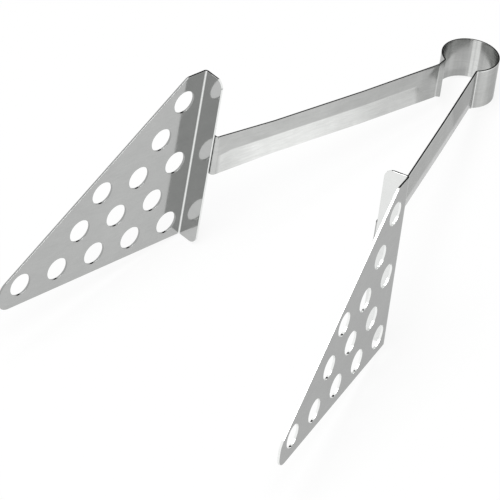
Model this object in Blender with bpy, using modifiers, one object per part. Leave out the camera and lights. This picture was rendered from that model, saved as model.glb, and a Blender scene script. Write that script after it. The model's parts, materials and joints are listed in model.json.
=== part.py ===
"""Sandwich tongs in stainless steel.

One spring strip is bent into a loop with two creased arms, and each arm ends in a foot that is
spot-welded to the flange of a perforated triangular blade. The strip is cut where it flexes, so that
each jaw, an arm with its blade, turns about the back of the loop.

Lengths are in metres and +Z is up. The pieces are laid out flat in the plane in which the jaws open,
with the origin inside the loop, +X to the right jaw and +Y to the back of the loop. The whole is
then tipped back until it rests on the loop and on the lower back corners of the two blades.
"""

import math

import bmesh
import bpy
from mathutils import Matrix, Vector

MM = 0.001

# Spring strip. The loop's radius is that of the middle of the sheet, and its middle lies a little
# towards the left jaw, as the strip was bent by hand. The line of each arm is measured from its
# start, aside from the middle plane and ahead of the origin, to the back of the flange. The left
# arm has one more slight bend just before its neck. The strip is drawn in to the arm's width by
# the crease, most at its lower edge beside the neck, and flares again towards neck and foot.
STRIP_WIDTH = 20.0 * MM
ARM_WIDTH = 17.6 * MM
ARM_LIFT = 1.05 * MM
ARM_LIFT_RUN = 45.0 * MM
NECK_FLARE = 3.5 * MM
FOOT_FLARE = 30.0 * MM
STRIP_THICKNESS = 0.8 * MM
LOOP_RADIUS = 12.85 * MM
LOOP_SIDE_SHIFT = -3.1 * MM
CROWN_HALF_ANGLE = math.radians(25.0)
FLEX_GAP = 0.3 * MM
NECK_INNER_RADIUS = 1.0 * MM
LEFT_KINK_RUN = 8.9 * MM
LEFT_KINK_ANGLE = math.radians(19.0)
KINK_INNER_RADIUS = 2.0 * MM
ARM_START_ASIDE = 6.16 * MM
ARM_START_AHEAD = 8.0 * MM
ARM_SPREAD = math.radians(16.05)
ARM_LENGTH = 134.7 * MM

# Stiffening crease along each arm, with a hipped end towards the neck and towards the foot.
CREASE_DEPTH = 1.7 * MM
CREASE_MARGIN = 1.0 * MM
CREASE_RUN_OUT = 9.0 * MM
CREASE_SOFTNESS_SHARE = 0.12

# Foot at the end of each arm, bent outwards against the flange. It stops short of the blade's fold.
FOOT_BEND_INNER_RADIUS = 0.8 * MM
FOOT_INSET = 0.7 * MM
FOOT_CORNER_RADIUS = 2.0 * MM
FOOT_GAP = 0.3 * MM

# Blade. Heights are above the middle of its lower edge, which falls a little towards the tip.
# Lengths run from the flange's back towards the tip, and offsets are outwards from the line of the
# arm. The blade leans in at its top. Its flange is raked back there, and the foot with it, while the
# rows of holes stay in line with the arm.
BLADE_TOE_IN = math.radians(5.3)
BLADE_LEAN = math.radians(0.95)
BLADE_RAKE = math.radians(1.1)
BLADE_THICKNESS = 1.0 * MM
BLADE_OFFSET = 12.1 * MM
BLADE_DROP = 39.15 * MM
BLADE_EDGE_FALL = 0.8 * MM
BLADE_HEIGHT = 88.2 * MM
BLADE_TOP_LENGTH = 10.8 * MM
BLADE_LENGTH = 107.2 * MM
BLADE_TIP_HEIGHT = 11.7 * MM
BLADE_TOP_CORNER_RADIUS = 3.0 * MM
BLADE_TIP_RADIUS = 7.5 * MM
FLANGE_EDGE_OFFSET = 1.0 * MM
FLANGE_CORNER_RADIUS = 4.2 * MM
FOLD_INNER_RADIUS = 0.5 * MM

# Holes in rows up the blade, each second row set in by half a pitch. There is one wherever the
# pattern leaves enough margin to the edges.
HOLE_DIAMETER = 11.1 * MM
HOLE_FIRST_LENGTH = 11.1 * MM
HOLE_FIRST_HEIGHT = 10.2 * MM
HOLE_PITCH = 21.15 * MM
HOLE_ROW_HEIGHT = 16.29 * MM
HOLE_MARGIN = 2.5 * MM

# Spot welds, which fill the gap between foot and flange.
WELD_DIAMETER = 4.0 * MM
WELD_SPACING_SHARE = 0.5
WELD_SKIN = 0.02 * MM

# Fineness of the faceting, and the least distance between two stations of the strip.
ARC_STEP = math.radians(7.5)
CORNER_STEPS = 5
CORNER_LIMIT_SHARE = 0.49
STATION_SPACING = 0.3 * MM
HALF_COLUMNS = 5
HOLE_SIDES = 36
WELD_SIDES = 24

# How far cutters run on, and how far the flange's outline passes outside the blade's straight edges.
CUT_OVERRUN = 2.0 * MM
FLANGE_TRIM_MARGIN = 0.1 * MM
WELD_DISTANCE = 0.001 * MM

STEEL_STRIP = (0.66, 0.665, 0.66, 1.0)
STEEL_BLADE = (0.62, 0.625, 0.62, 1.0)

SIDES = {"left": -1, "right": 1}


def clear_scene():
    for item in list(bpy.data.objects):
        bpy.data.objects.remove(item, do_unlink=True)


def new_collection(name):
    collection = bpy.data.collections.new(name)
    bpy.context.scene.collection.children.link(collection)
    return collection


def steel(name, colour, roughness):
    material = bpy.data.materials.new(name)
    material.use_nodes = True
    shader = material.node_tree.nodes["Principled BSDF"]
    shader.inputs["Base Color"].default_value = colour
    shader.inputs["Metallic"].default_value = 1.0
    shader.inputs["Roughness"].default_value = roughness
    return material


def new_empty(name, collection, parent=None, matrix=None):
    empty = bpy.data.objects.new(name, None)
    collection.objects.link(empty)
    empty.parent = parent
    if matrix is not None:
        empty.matrix_local = matrix
    return empty


def direction(angle):
    return Vector((math.cos(angle), math.sin(angle)))


class Station:
    """A place along the strip: a point on its middle, and the way the sheet's outside faces there.

    On the crease it also holds the distance to the crease's start and the length of the crease.
    The lift is the height of the strip's middle there above that of the loop, and the rake is the
    slope by which the sheet goes back with height, as the flange does.
    """

    def __init__(self, point, outward, crease=None, half_width=STRIP_WIDTH / 2):
        self.point = point
        self.outward = outward
        self.crease = crease
        self.half_width = half_width
        self.lift = 0.0
        self.rake = None


def arc_stations(centre, radius, start, end, outward_sign):
    """Stations round an arc; the sheet's outside faces away from the centre, or towards it at -1."""
    steps = max(1, math.ceil(abs(end - start) / ARC_STEP))
    stations = []
    for i in range(steps + 1):
        ray = direction(start + (end - start) * i / steps)
        stations.append(Station(centre + ray * radius, ray * outward_sign))
    return stations


def loop_centre(side):
    """The loop's centre, with its sideways shift counted towards one side."""
    return Vector((side * LOOP_SIDE_SHIFT, 0))


def arm_start():
    return Vector((ARM_START_ASIDE, -ARM_START_AHEAD))


def strip_direction(spread):
    """Down a part of the strip that is spread from the middle plane by an angle."""
    return Vector((math.sin(spread), -math.cos(spread)))


def strip_outward(spread):
    return Vector((math.cos(spread), math.sin(spread)))


def arm_direction():
    return strip_direction(ARM_SPREAD)


def arm_outward():
    return strip_outward(ARM_SPREAD)


def neck_spread(side):
    """Spread of the strip next to the neck, where only the left arm has its slight bend."""
    return ARM_SPREAD - LEFT_KINK_ANGLE if side < 0 else ARM_SPREAD


def neck_bend(side):
    """The neck's radius and centre, touching the loop and the strip's line next to it.

    The last value is the run from the bend of the arm, or from its start, to the neck's end.
    """
    radius = NECK_INNER_RADIUS + STRIP_THICKNESS / 2
    spread = neck_spread(side)
    start = arm_start()
    if side < 0:
        start = start + arm_direction() * LEFT_KINK_RUN
    beside = start + strip_outward(spread) * radius - loop_centre(side)
    along = beside.dot(strip_direction(spread))
    reach = LOOP_RADIUS + radius
    run = -along + math.sqrt(along**2 - beside.length_squared + reach**2)
    return radius, loop_centre(side) + beside + strip_direction(spread) * run, run


def kink(side):
    """Stations of the slight bend next to the neck, and where it ends down the arm's line."""
    spread = neck_spread(side)
    radius = KINK_INNER_RADIUS + STRIP_THICKNESS / 2
    tangent = radius * math.tan((ARM_SPREAD - spread) / 2)
    end = LEFT_KINK_RUN + tangent
    centre = arm_start() + arm_direction() * end + arm_outward() * radius
    stations = arc_stations(centre, radius, math.pi + spread, math.pi + ARM_SPREAD, -1)
    for station in stations:
        station.half_width = ARM_WIDTH / 2
        station.lift = ARM_LIFT
    return stations, end


def blade_angle():
    return ARM_SPREAD - BLADE_TOE_IN


def blade_root():
    """Where the arm's line meets the back plane of the flange."""
    return arm_start() + arm_direction() * ARM_LENGTH


def blade_place(side):
    """The blade's own frame: X along it, Y across it and Z up from its lower edge.

    It leans about the line along the blade through the middle of the foot.
    """
    root = blade_root()
    turn = blade_angle() - math.pi / 2 if side > 0 else -blade_angle() - math.pi / 2
    foot = Matrix.Translation((side * root.x, root.y, STRIP_WIDTH / 2))
    leaning = Matrix.Rotation(turn, 4, "Z") @ Matrix.Rotation(side * BLADE_LEAN, 4, "X")
    raked = leaning @ Matrix.Rotation(-BLADE_RAKE, 4, "Y")
    return foot @ raked @ Matrix.Translation((0, 0, -foot_height()))


def foot_height():
    """Height of the middle of the foot above the blade's lower edge."""
    return BLADE_DROP + STRIP_WIDTH / 2


def in_line(place):
    """A place on the blade turned about the foot, so that lengths lie in line with the arm."""
    turned = place - Vector((0, foot_height()))
    turned.rotate(Matrix.Rotation(-BLADE_RAKE, 2))
    return turned + Vector((0, foot_height()))


def foot_reach():
    """Offset of the foot's end, short of where the fold of the blade begins."""
    return BLADE_OFFSET - BLADE_THICKNESS / 2 - FOLD_INNER_RADIUS - FOOT_INSET


def crease_rise(run, crease_length, across_share):
    """Depth of the crease at a run along it and at a share of the half width from its middle."""
    soft = CREASE_SOFTNESS_SHARE
    ridge = math.hypot(1.0, soft) - math.hypot(across_share, soft)
    hip = min(run, crease_length - run) / CREASE_RUN_OUT
    return CREASE_DEPTH * max(0.0, min(ridge, hip))


def arm_half_width(from_neck, to_foot):
    """Half the width of the arm, which flares to the strip's full width at both ends."""
    flare = max(0.0, 1 - from_neck / NECK_FLARE, 1 - to_foot / FOOT_FLARE)
    return (ARM_WIDTH + (STRIP_WIDTH - ARM_WIDTH) * flare) / 2


def arm_lift(from_neck):
    """Height by which the arm's middle lies above that of the loop, all beside the neck."""
    risen = min(1.0, from_neck / NECK_FLARE)
    return ARM_LIFT * risen * max(0.0, 1 - from_neck / ARM_LIFT_RUN)


def spaced(runs):
    """The runs in order, without those that come too close after another."""
    kept = []
    for run in sorted(runs):
        if not kept or run - kept[-1] > STATION_SPACING:
            kept.append(run)
    return kept


def arm_stations(side):
    """Stations of one arm, from its end at the loop's crown to the end of its foot."""
    neck_radius, centre, neck_run = neck_bend(side)
    gap_angle = FLEX_GAP / (2 * LOOP_RADIUS)
    loop_start = math.pi / 2 - CROWN_HALF_ANGLE - gap_angle
    from_loop = centre - loop_centre(side)
    loop_end = math.atan2(from_loop.y, from_loop.x)
    stations = arc_stations(loop_centre(side), LOOP_RADIUS, loop_start, loop_end, 1)
    neck_start = loop_end + math.pi
    neck_end = math.pi + neck_spread(side)
    stations += arc_stations(centre, neck_radius, neck_start, neck_end, -1)[1:]
    plain_end = neck_run
    from_neck = CREASE_MARGIN
    if side < 0:
        kink_stations, plain_end = kink(side)
        stations += kink_stations
        from_neck = NECK_FLARE

    turn = math.pi / 2 - BLADE_TOE_IN
    bend_radius = FOOT_BEND_INNER_RADIUS + STRIP_THICKNESS / 2
    tangent = bend_radius * math.tan(turn / 2)
    corner_run = ARM_LENGTH - (STRIP_THICKNESS / 2 + FOOT_GAP) / math.cos(BLADE_TOE_IN)
    bend_run = corner_run - tangent
    crease_start = plain_end + CREASE_MARGIN
    crease_length = bend_run - CREASE_MARGIN - crease_start
    steps = [CREASE_RUN_OUT * i / HALF_COLUMNS for i in range(HALF_COLUMNS + 1)]
    runs = steps + [ARM_LIFT_RUN - from_neck, crease_length - FOOT_FLARE]
    for run in spaced(runs + [crease_length - run for run in steps]):
        point = arm_start() + arm_direction() * (crease_start + run)
        half_width = arm_half_width(from_neck + run, crease_length - run)
        station = Station(point, arm_outward(), (run, crease_length), half_width)
        station.lift = arm_lift(from_neck + run)
        stations.append(station)

    bend_start = arm_start() + arm_direction() * bend_run
    bend_centre = bend_start + arm_outward() * bend_radius
    bend_angle = math.pi + ARM_SPREAD
    bend_stations = arc_stations(bend_centre, bend_radius, bend_angle, bend_angle + turn, -1)
    foot_direction = direction(blade_angle())
    foot_outward = Vector((-foot_direction.y, foot_direction.x))
    rake = foot_outward * math.tan(BLADE_RAKE)
    for i, station in enumerate(bend_stations):
        station.rake = rake * (i / (len(bend_stations) - 1))
    stations += bend_stations

    corner = arm_start() + arm_direction() * corner_run
    for i in range(CORNER_STEPS + 1):
        angle = math.pi / 2 * i / CORNER_STEPS
        reach = foot_reach() - FOOT_CORNER_RADIUS * (1 - math.sin(angle))
        half_width = STRIP_WIDTH / 2 - FOOT_CORNER_RADIUS * (1 - math.cos(angle))
        station = Station(corner + foot_direction * reach, foot_outward, half_width=half_width)
        station.rake = rake
        stations.append(station)
    return stations


def strip_sheet(name, stations, side, columns, collection, material):
    """Open sheet laid along the stations and thickened to the strip."""
    bm = bmesh.new()
    bmesh.ops.create_grid(bm, x_segments=len(stations) - 1, y_segments=columns, size=0.5)
    for vert in bm.verts:
        station = stations[round((vert.co.x + 0.5) * (len(stations) - 1))]
        across_share = 2 * vert.co.y
        place = station.point
        if station.crease:
            run, length = station.crease
            place = place + station.outward * crease_rise(run, length, across_share)
        height = STRIP_WIDTH / 2 + station.lift + across_share * station.half_width
        if station.rake:
            place = place + station.rake * (across_share * station.half_width)
        vert.co = (side * place.x, place.y, height)
    mesh = bpy.data.meshes.new(name)
    bm.to_mesh(mesh)
    bm.free()
    mesh.materials.append(material)
    mesh.shade_smooth()
    mesh.set_sharp_from_angle(angle=ARC_STEP * 2)
    strip = bpy.data.objects.new(name, mesh)
    collection.objects.link(strip)
    solidify = strip.modifiers.new("sheet", "SOLIDIFY")
    solidify.thickness = STRIP_THICKNESS
    solidify.offset = 0.0
    solidify.use_even_offset = True
    return strip


def rounded_outline(corners):
    """Points of a closed outline from (point, radius) corners, each rounded by an arc.

    A radius is limited by the shorter of the two sides that meet at its corner.
    """
    points = []
    for i, (corner, radius) in enumerate(corners):
        if radius == 0:
            points.append(corner)
            continue
        back = corners[i - 1][0] - corner
        ahead = corners[(i + 1) % len(corners)][0] - corner
        half_angle = back.angle(ahead) / 2
        room = CORNER_LIMIT_SHARE * min(back.length, ahead.length)
        setback = min(radius / math.tan(half_angle), room)
        middle = (back.normalized() + ahead.normalized()).normalized()
        centre = corner + middle * (setback / math.cos(half_angle))
        start = corner + back.normalized() * setback - centre
        end = corner + ahead.normalized() * setback - centre
        sweep = start.angle_signed(end)
        for step in range(CORNER_STEPS + 1):
            turned = start.copy()
            turned.rotate(Matrix.Rotation(-sweep * step / CORNER_STEPS, 2))
            points.append(centre + turned)
    return points


def prism(name, corners, low, high, matrix, collection):
    """Closed solid with a flat outline, from low to high along the outline's normal."""
    curve = bpy.data.curves.new(name, "CURVE")
    curve.dimensions = "2D"
    curve.fill_mode = "BOTH"
    curve.extrude = (high - low) / 2
    outline = rounded_outline(corners)
    spline = curve.splines.new("POLY")
    spline.points.add(len(outline) - 1)
    for knot, point in zip(spline.points, outline):
        knot.co = (point.x, point.y, 0, 1)
    spline.use_cyclic_u = True
    flat = bpy.data.objects.new(name, curve)
    collection.objects.link(flat)
    bpy.context.view_layer.update()
    evaluated = flat.evaluated_get(bpy.context.evaluated_depsgraph_get())
    mesh = bpy.data.meshes.new_from_object(evaluated)
    bpy.data.objects.remove(flat, do_unlink=True)
    bm = bmesh.new()
    bm.from_mesh(mesh)
    bmesh.ops.remove_doubles(bm, verts=bm.verts, dist=WELD_DISTANCE)
    bmesh.ops.recalc_face_normals(bm, faces=bm.faces)
    bmesh.ops.translate(bm, verts=bm.verts, vec=(0, 0, (low + high) / 2))
    bmesh.ops.transform(bm, matrix=matrix, verts=bm.verts)
    bm.to_mesh(mesh)
    bm.free()
    solid = bpy.data.objects.new(name, mesh)
    collection.objects.link(solid)
    return solid


def make_cutter(cutter, parent):
    cutter.parent = parent
    cutter.hide_render = True
    cutter.display_type = "WIRE"
    return cutter


def cut(target, cutter, operation):
    boolean = target.modifiers.new(cutter.name, "BOOLEAN")
    boolean.operation = operation
    boolean.solver = "EXACT"
    boolean.object = cutter


def angle_section(side):
    """Outline of the blade's L section, in length and offset."""
    near = side * (BLADE_OFFSET - BLADE_THICKNESS / 2)
    far = side * (BLADE_OFFSET + BLADE_THICKNESS / 2)
    edge = side * FLANGE_EDGE_OFFSET
    outer_radius = FOLD_INNER_RADIUS + BLADE_THICKNESS
    return [
        (Vector((0, edge)), 0),
        (Vector((BLADE_THICKNESS, edge)), 0),
        (Vector((BLADE_THICKNESS, near)), FOLD_INNER_RADIUS),
        (Vector((BLADE_LENGTH, near)), 0),
        (Vector((BLADE_LENGTH, far)), 0),
        (Vector((0, far)), outer_radius),
    ]


def blade_outline():
    """Outline of the blade seen square on, in length and height, running on past the flange."""
    back = -2 * CUT_OVERRUN
    back_height = BLADE_EDGE_FALL * (1 - 2 * back / BLADE_LENGTH)
    corners = [
        (Vector((back, back_height)), 0),
        (Vector((BLADE_LENGTH, -BLADE_EDGE_FALL)), BLADE_TIP_RADIUS),
        (Vector((BLADE_LENGTH, BLADE_TIP_HEIGHT)), BLADE_TIP_RADIUS),
        (Vector((BLADE_TOP_LENGTH, BLADE_HEIGHT)), BLADE_TOP_CORNER_RADIUS),
        (Vector((back, BLADE_HEIGHT)), 0),
    ]
    return [(in_line(corner), radius) for corner, radius in corners]


def blade_low():
    """Below the lowest place of the blade in its own frame, where the tip goes down."""
    return -BLADE_LENGTH * math.sin(BLADE_RAKE) - BLADE_EDGE_FALL - CUT_OVERRUN


def flange_outline(side):
    """Outline of the flange seen square on, in offset and height, running on past the blade."""
    edge = side * FLANGE_EDGE_OFFSET
    fold = side * (BLADE_OFFSET - BLADE_THICKNESS / 2 - FOLD_INNER_RADIUS)
    past = side * (BLADE_OFFSET + BLADE_THICKNESS / 2 + CUT_OVERRUN)
    low = BLADE_EDGE_FALL - FLANGE_TRIM_MARGIN
    high = BLADE_HEIGHT + FLANGE_TRIM_MARGIN
    return [
        (Vector((edge, low)), FLANGE_CORNER_RADIUS),
        (Vector((fold, low)), 0),
        (Vector((fold, blade_low() - CUT_OVERRUN)), 0),
        (Vector((past, blade_low() - CUT_OVERRUN)), 0),
        (Vector((past, high)), 0),
        (Vector((edge, high)), FLANGE_CORNER_RADIUS),
    ]


def has_margin(place):
    """Whether a hole here keeps its margin to the lower edge, the sloping edge and the tip."""
    foot_of_slope = Vector((BLADE_LENGTH, BLADE_TIP_HEIGHT))
    slope = (Vector((BLADE_TOP_LENGTH, BLADE_HEIGHT)) - foot_of_slope).normalized()
    to_slope = slope.cross(place - foot_of_slope)
    nearest = min(place.y, BLADE_LENGTH - place.x, BLADE_HEIGHT - place.y, to_slope)
    return nearest >= HOLE_DIAMETER / 2 + HOLE_MARGIN


def hole_places():
    """Length and height of each hole's centre."""
    rows = int(BLADE_HEIGHT / HOLE_ROW_HEIGHT) + 1
    columns = int(BLADE_LENGTH / HOLE_PITCH) + 1
    places = []
    for row in range(rows):
        first = HOLE_FIRST_LENGTH + HOLE_PITCH / 2 * (row % 2)
        height = HOLE_FIRST_HEIGHT + HOLE_ROW_HEIGHT * row
        places += [Vector((first + HOLE_PITCH * column, height)) for column in range(columns)]
    return [in_line(place) for place in places if has_margin(place)]


def hole_cutters(name, side, collection):
    bm = bmesh.new()
    across = Matrix.Rotation(math.pi / 2, 4, "X")
    for hole in hole_places():
        place = Matrix.Translation((hole.x, side * BLADE_OFFSET, hole.y))
        bmesh.ops.create_cone(
            bm,
            cap_ends=True,
            segments=HOLE_SIDES,
            radius1=HOLE_DIAMETER / 2,
            radius2=HOLE_DIAMETER / 2,
            depth=BLADE_THICKNESS + 2 * CUT_OVERRUN,
            matrix=place @ across,
        )
    mesh = bpy.data.meshes.new(name)
    bm.to_mesh(mesh)
    bm.free()
    cutter = bpy.data.objects.new(name, mesh)
    collection.objects.link(cutter)
    return cutter


def blade(label, side, frame, collection, cutters, material):
    """Perforated blade with its flange, trimmed from a length of L section."""
    upright = Matrix.Rotation(math.pi / 2, 4, "X")
    lengthwise = Matrix(((0, 0, 1, 0), (1, 0, 0, 0), (0, 1, 0, 0), (0, 0, 0, 1)))
    section = angle_section(side)
    top = BLADE_HEIGHT + CUT_OVERRUN
    piece = prism(f"{label}_blade", section, blade_low(), top, Matrix(), collection)
    piece.parent = frame
    low = -CUT_OVERRUN
    high = BLADE_LENGTH + CUT_OVERRUN
    far = BLADE_OFFSET + BLADE_THICKNESS / 2 + CUT_OVERRUN
    outline = prism(f"{label}_blade_outline", blade_outline(), -far, far, upright, cutters)
    rounded = prism(f"{label}_flange_outline", flange_outline(side), low, high, lengthwise, cutters)
    holes = hole_cutters(f"{label}_blade_holes", side, cutters)
    for cutter in (outline, rounded, holes):
        make_cutter(cutter, frame)
    cut(piece, outline, "INTERSECT")
    cut(piece, rounded, "INTERSECT")
    cut(piece, holes, "DIFFERENCE")
    piece.data.materials.append(material)
    return piece


def weld(name, side, height, frame, collection, material):
    """Nugget of a spot weld, in the gap between the foot and the flange's back."""
    depth = FOOT_GAP - 2 * WELD_SKIN
    offset = (FLANGE_EDGE_OFFSET + foot_reach()) / 2
    place = Matrix.Translation((-FOOT_GAP / 2, side * offset, height))
    bm = bmesh.new()
    bmesh.ops.create_cone(
        bm,
        cap_ends=True,
        segments=WELD_SIDES,
        radius1=WELD_DIAMETER / 2,
        radius2=WELD_DIAMETER / 2,
        depth=depth,
        matrix=place @ Matrix.Rotation(math.pi / 2, 4, "Y"),
    )
    mesh = bpy.data.meshes.new(name)
    bm.to_mesh(mesh)
    bm.free()
    mesh.materials.append(material)
    nugget = bpy.data.objects.new(name, mesh)
    collection.objects.link(nugget)
    nugget.parent = frame
    return nugget


def jaw(label, rest_frame, collection, cutters, strip_steel, blade_steel):
    """One jaw: the arm's strip, its blade and the welds between them, on the flex axis of its side."""
    side = SIDES[label]
    axis_ray = direction(math.pi / 2 - side * CROWN_HALF_ANGLE)
    axis_place = (loop_centre(1) + axis_ray * LOOP_RADIUS).to_3d()
    hinge = new_empty(f"{label}_flex_axis", collection, rest_frame, Matrix.Translation(axis_place))
    stations = arm_stations(side)
    arm = strip_sheet(f"{label}_arm", stations, side, 2 * HALF_COLUMNS, collection, strip_steel)
    arm.parent = hinge
    arm.matrix_parent_inverse = Matrix.Translation(-axis_place)

    blade_matrix = Matrix.Translation(-axis_place) @ blade_place(side)
    blade_frame = new_empty(f"{label}_blade_frame", collection, hinge, blade_matrix)
    pieces = [arm, blade(label, side, blade_frame, collection, cutters, blade_steel)]
    middle = foot_height()
    shift = STRIP_WIDTH * WELD_SPACING_SHARE / 2
    for place_name, height in (("upper", middle + shift), ("lower", middle - shift)):
        name = f"{label}_weld_{place_name}"
        pieces.append(weld(name, side, height, blade_frame, collection, strip_steel))
    return pieces


def crown(rest_frame, collection, material):
    """Back of the loop, which stays still while the jaws flex towards each other."""
    half = CROWN_HALF_ANGLE - FLEX_GAP / (2 * LOOP_RADIUS)
    start = math.pi / 2 + half
    stations = arc_stations(loop_centre(1), LOOP_RADIUS, start, math.pi - start, 1)
    piece = strip_sheet("loop_crown", stations, 1, 2, collection, material)
    piece.parent = rest_frame
    return piece


def rest_pitch():
    """Angle by which the tongs tip back until the loop and the blades' back corners touch down."""
    offset = BLADE_OFFSET - BLADE_THICKNESS / 2 - FOLD_INNER_RADIUS
    corner = blade_place(1) @ Vector((0, offset, BLADE_EDGE_FALL))
    reach = LOOP_RADIUS + STRIP_THICKNESS / 2 - corner.y
    return -math.atan2(-corner.z, reach)


def set_down(rest_frame, pieces):
    """Move the tipped tongs so that they stand on Z = 0, with the origin at the middle of their box."""
    bpy.context.view_layer.update()
    depsgraph = bpy.context.evaluated_depsgraph_get()
    lows = []
    highs = []
    for piece in pieces:
        evaluated = piece.evaluated_get(depsgraph)
        corners = [evaluated.matrix_world @ vert.co for vert in evaluated.data.vertices]
        lows.append([min(corner[i] for corner in corners) for i in range(3)])
        highs.append([max(corner[i] for corner in corners) for i in range(3)])
    low = [min(values) for values in zip(*lows)]
    high = [max(values) for values in zip(*highs)]
    shift = Vector((-(low[0] + high[0]) / 2, -(low[1] + high[1]) / 2, -low[2]))
    rest_frame.matrix_local = Matrix.Translation(shift) @ rest_frame.matrix_local
    bpy.context.view_layer.update()


def main():
    clear_scene()
    parts = new_collection("sandwich_tongs")
    cutters = new_collection("cutters")
    strip_steel = steel("strip_steel", STEEL_STRIP, 0.28)
    blade_steel = steel("blade_steel", STEEL_BLADE, 0.32)
    tipped = Matrix.Rotation(rest_pitch(), 4, "X")
    rest_frame = new_empty("rest_frame", parts, matrix=tipped)
    pieces = [crown(rest_frame, parts, strip_steel)]
    for label in SIDES:
        pieces += jaw(label, rest_frame, parts, cutters, strip_steel, blade_steel)
    set_down(rest_frame, pieces)


main()
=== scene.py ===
"""Looks of the sandwich tongs: satin stainless steel on a white floor.

The strip and the blades are laid out flat as in the part's source, in the plane in which the jaws
open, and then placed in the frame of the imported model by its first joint. Lengths are in metres.
"""

import json
import math

import bmesh
import bpy
from mathutils import Matrix, Vector


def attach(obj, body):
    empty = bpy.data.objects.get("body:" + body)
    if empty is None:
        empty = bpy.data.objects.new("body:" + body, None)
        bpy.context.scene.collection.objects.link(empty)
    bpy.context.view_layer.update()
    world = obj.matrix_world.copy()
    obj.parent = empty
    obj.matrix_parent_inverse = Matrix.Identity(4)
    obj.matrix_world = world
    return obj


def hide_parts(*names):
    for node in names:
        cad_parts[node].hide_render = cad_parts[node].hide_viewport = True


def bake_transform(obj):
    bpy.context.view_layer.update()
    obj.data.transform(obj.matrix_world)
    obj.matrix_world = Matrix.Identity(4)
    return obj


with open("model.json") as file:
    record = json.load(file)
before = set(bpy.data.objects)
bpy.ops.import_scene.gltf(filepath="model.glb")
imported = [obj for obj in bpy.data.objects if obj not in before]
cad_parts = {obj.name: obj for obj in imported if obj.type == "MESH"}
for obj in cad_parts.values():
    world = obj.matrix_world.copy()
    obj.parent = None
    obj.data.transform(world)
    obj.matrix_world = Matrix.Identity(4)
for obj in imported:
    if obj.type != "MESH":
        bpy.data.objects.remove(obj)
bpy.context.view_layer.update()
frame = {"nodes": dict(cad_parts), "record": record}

MM = 0.001

# Spring strip, with the values of the part's source. The loop's radius is that of the middle of
# the sheet, and its middle lies a little towards the left jaw. The line of each arm is measured
# from its start, aside from the middle plane and ahead of the origin, to the back of the flange.
# The left arm has one more slight bend just before its neck. The crease draws the strip in to the
# arm's width, most at its lower edge beside the neck.
STRIP_WIDTH = 20.0 * MM
ARM_WIDTH = 17.6 * MM
ARM_LIFT = 1.05 * MM
ARM_LIFT_RUN = 45.0 * MM
NECK_FLARE = 3.5 * MM
FOOT_FLARE = 30.0 * MM
STRIP_THICKNESS = 0.8 * MM
LOOP_RADIUS = 12.85 * MM
LOOP_SIDE_SHIFT = -3.1 * MM
CROWN_HALF_ANGLE = math.radians(25.0)
NECK_INNER_RADIUS = 1.0 * MM
LEFT_KINK_RUN = 8.9 * MM
LEFT_KINK_ANGLE = math.radians(19.0)
KINK_INNER_RADIUS = 2.0 * MM
ARM_START_ASIDE = 6.16 * MM
ARM_START_AHEAD = 8.0 * MM
ARM_SPREAD = math.radians(16.05)
ARM_LENGTH = 134.7 * MM

# Stiffening crease along each arm, with a hipped end towards the neck and towards the foot. The
# softness of its ridge is a share of half the arm's width, and that of its hips one of its depth.
CREASE_DEPTH = 1.7 * MM
CREASE_MARGIN = 1.0 * MM
CREASE_RUN_OUT = 9.0 * MM
CREASE_SOFTNESS_SHARE = 0.12
HIP_SOFTNESS_SHARE = 0.03

# Foot at the end of each arm, bent outwards against the flange.
FOOT_BEND_INNER_RADIUS = 0.8 * MM
FOOT_INSET = 0.7 * MM
FOOT_CORNER_RADIUS = 2.0 * MM
FOOT_GAP = 0.3 * MM

# Blade, with the values of the part's source. Heights are above the middle of its lower edge,
# lengths run from the flange's back towards the tip, and offsets are outwards from the arm's line.
BLADE_TOE_IN = math.radians(5.3)
BLADE_LEAN = math.radians(0.95)
BLADE_RAKE = math.radians(1.1)
BLADE_THICKNESS = 1.0 * MM
BLADE_OFFSET = 12.1 * MM
BLADE_DROP = 39.15 * MM
BLADE_EDGE_FALL = 0.8 * MM
BLADE_HEIGHT = 88.2 * MM
BLADE_TOP_LENGTH = 10.8 * MM
BLADE_LENGTH = 107.2 * MM
BLADE_TIP_HEIGHT = 11.7 * MM
BLADE_TOP_CORNER_RADIUS = 3.0 * MM
BLADE_TIP_RADIUS = 7.5 * MM
FLANGE_EDGE_OFFSET = 1.0 * MM
FLANGE_CORNER_RADIUS = 4.2 * MM
FOLD_INNER_RADIUS = 0.5 * MM
FOLD_RADIUS = FOLD_INNER_RADIUS + BLADE_THICKNESS / 2

# Holes in rows up the blade, each second row set in by half a pitch.
HOLE_DIAMETER = 11.1 * MM
HOLE_FIRST_LENGTH = 11.1 * MM
HOLE_FIRST_HEIGHT = 10.2 * MM
HOLE_PITCH = 21.15 * MM
HOLE_ROW_HEIGHT = 16.29 * MM
HOLE_MARGIN = 2.5 * MM

# Where the fold starts and ends on the blade's unrolled sheet, and how much further on the plate's
# lengths lie there.
FOLD_START = BLADE_OFFSET - FOLD_RADIUS
FOLD_END = FOLD_START + FOLD_RADIUS * math.pi / 2
UNFOLD_SHIFT = FOLD_END - BLADE_THICKNESS / 2 - FOLD_RADIUS

# Rounding of the sheared edges, which only the looks have.
EDGE_RADIUS = 0.12 * MM
EDGE_STEPS = 3

# Fineness of the meshes, and how much of a side a rounded corner may take up. The columns are
# shares of half the strip's section, from its middle.
ARC_STEP = math.radians(2.0)
BEND_STEP = math.radians(7.5)
RUN_STEP = 1.0 * MM
CORNER_STEPS = 14
CORNER_LIMIT_SHARE = 0.49
HOLE_SIDES = 72
FOLD_STEPS = 12
COLUMNS = (
    0, 0.015, 0.03, 0.045, 0.06, 0.08, 0.1, 0.13, 0.17, 0.22, 0.3, 0.4, 0.5, 0.6, 0.7, 0.8, 0.9, 1
)

# Width of the narrow faces that keep the smooth shading even: at the back of the loop, where the
# two strips meet, and beside the fold.
SEAM = 0.02 * MM
FOLD_MARGIN = 3 * SEAM

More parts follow.
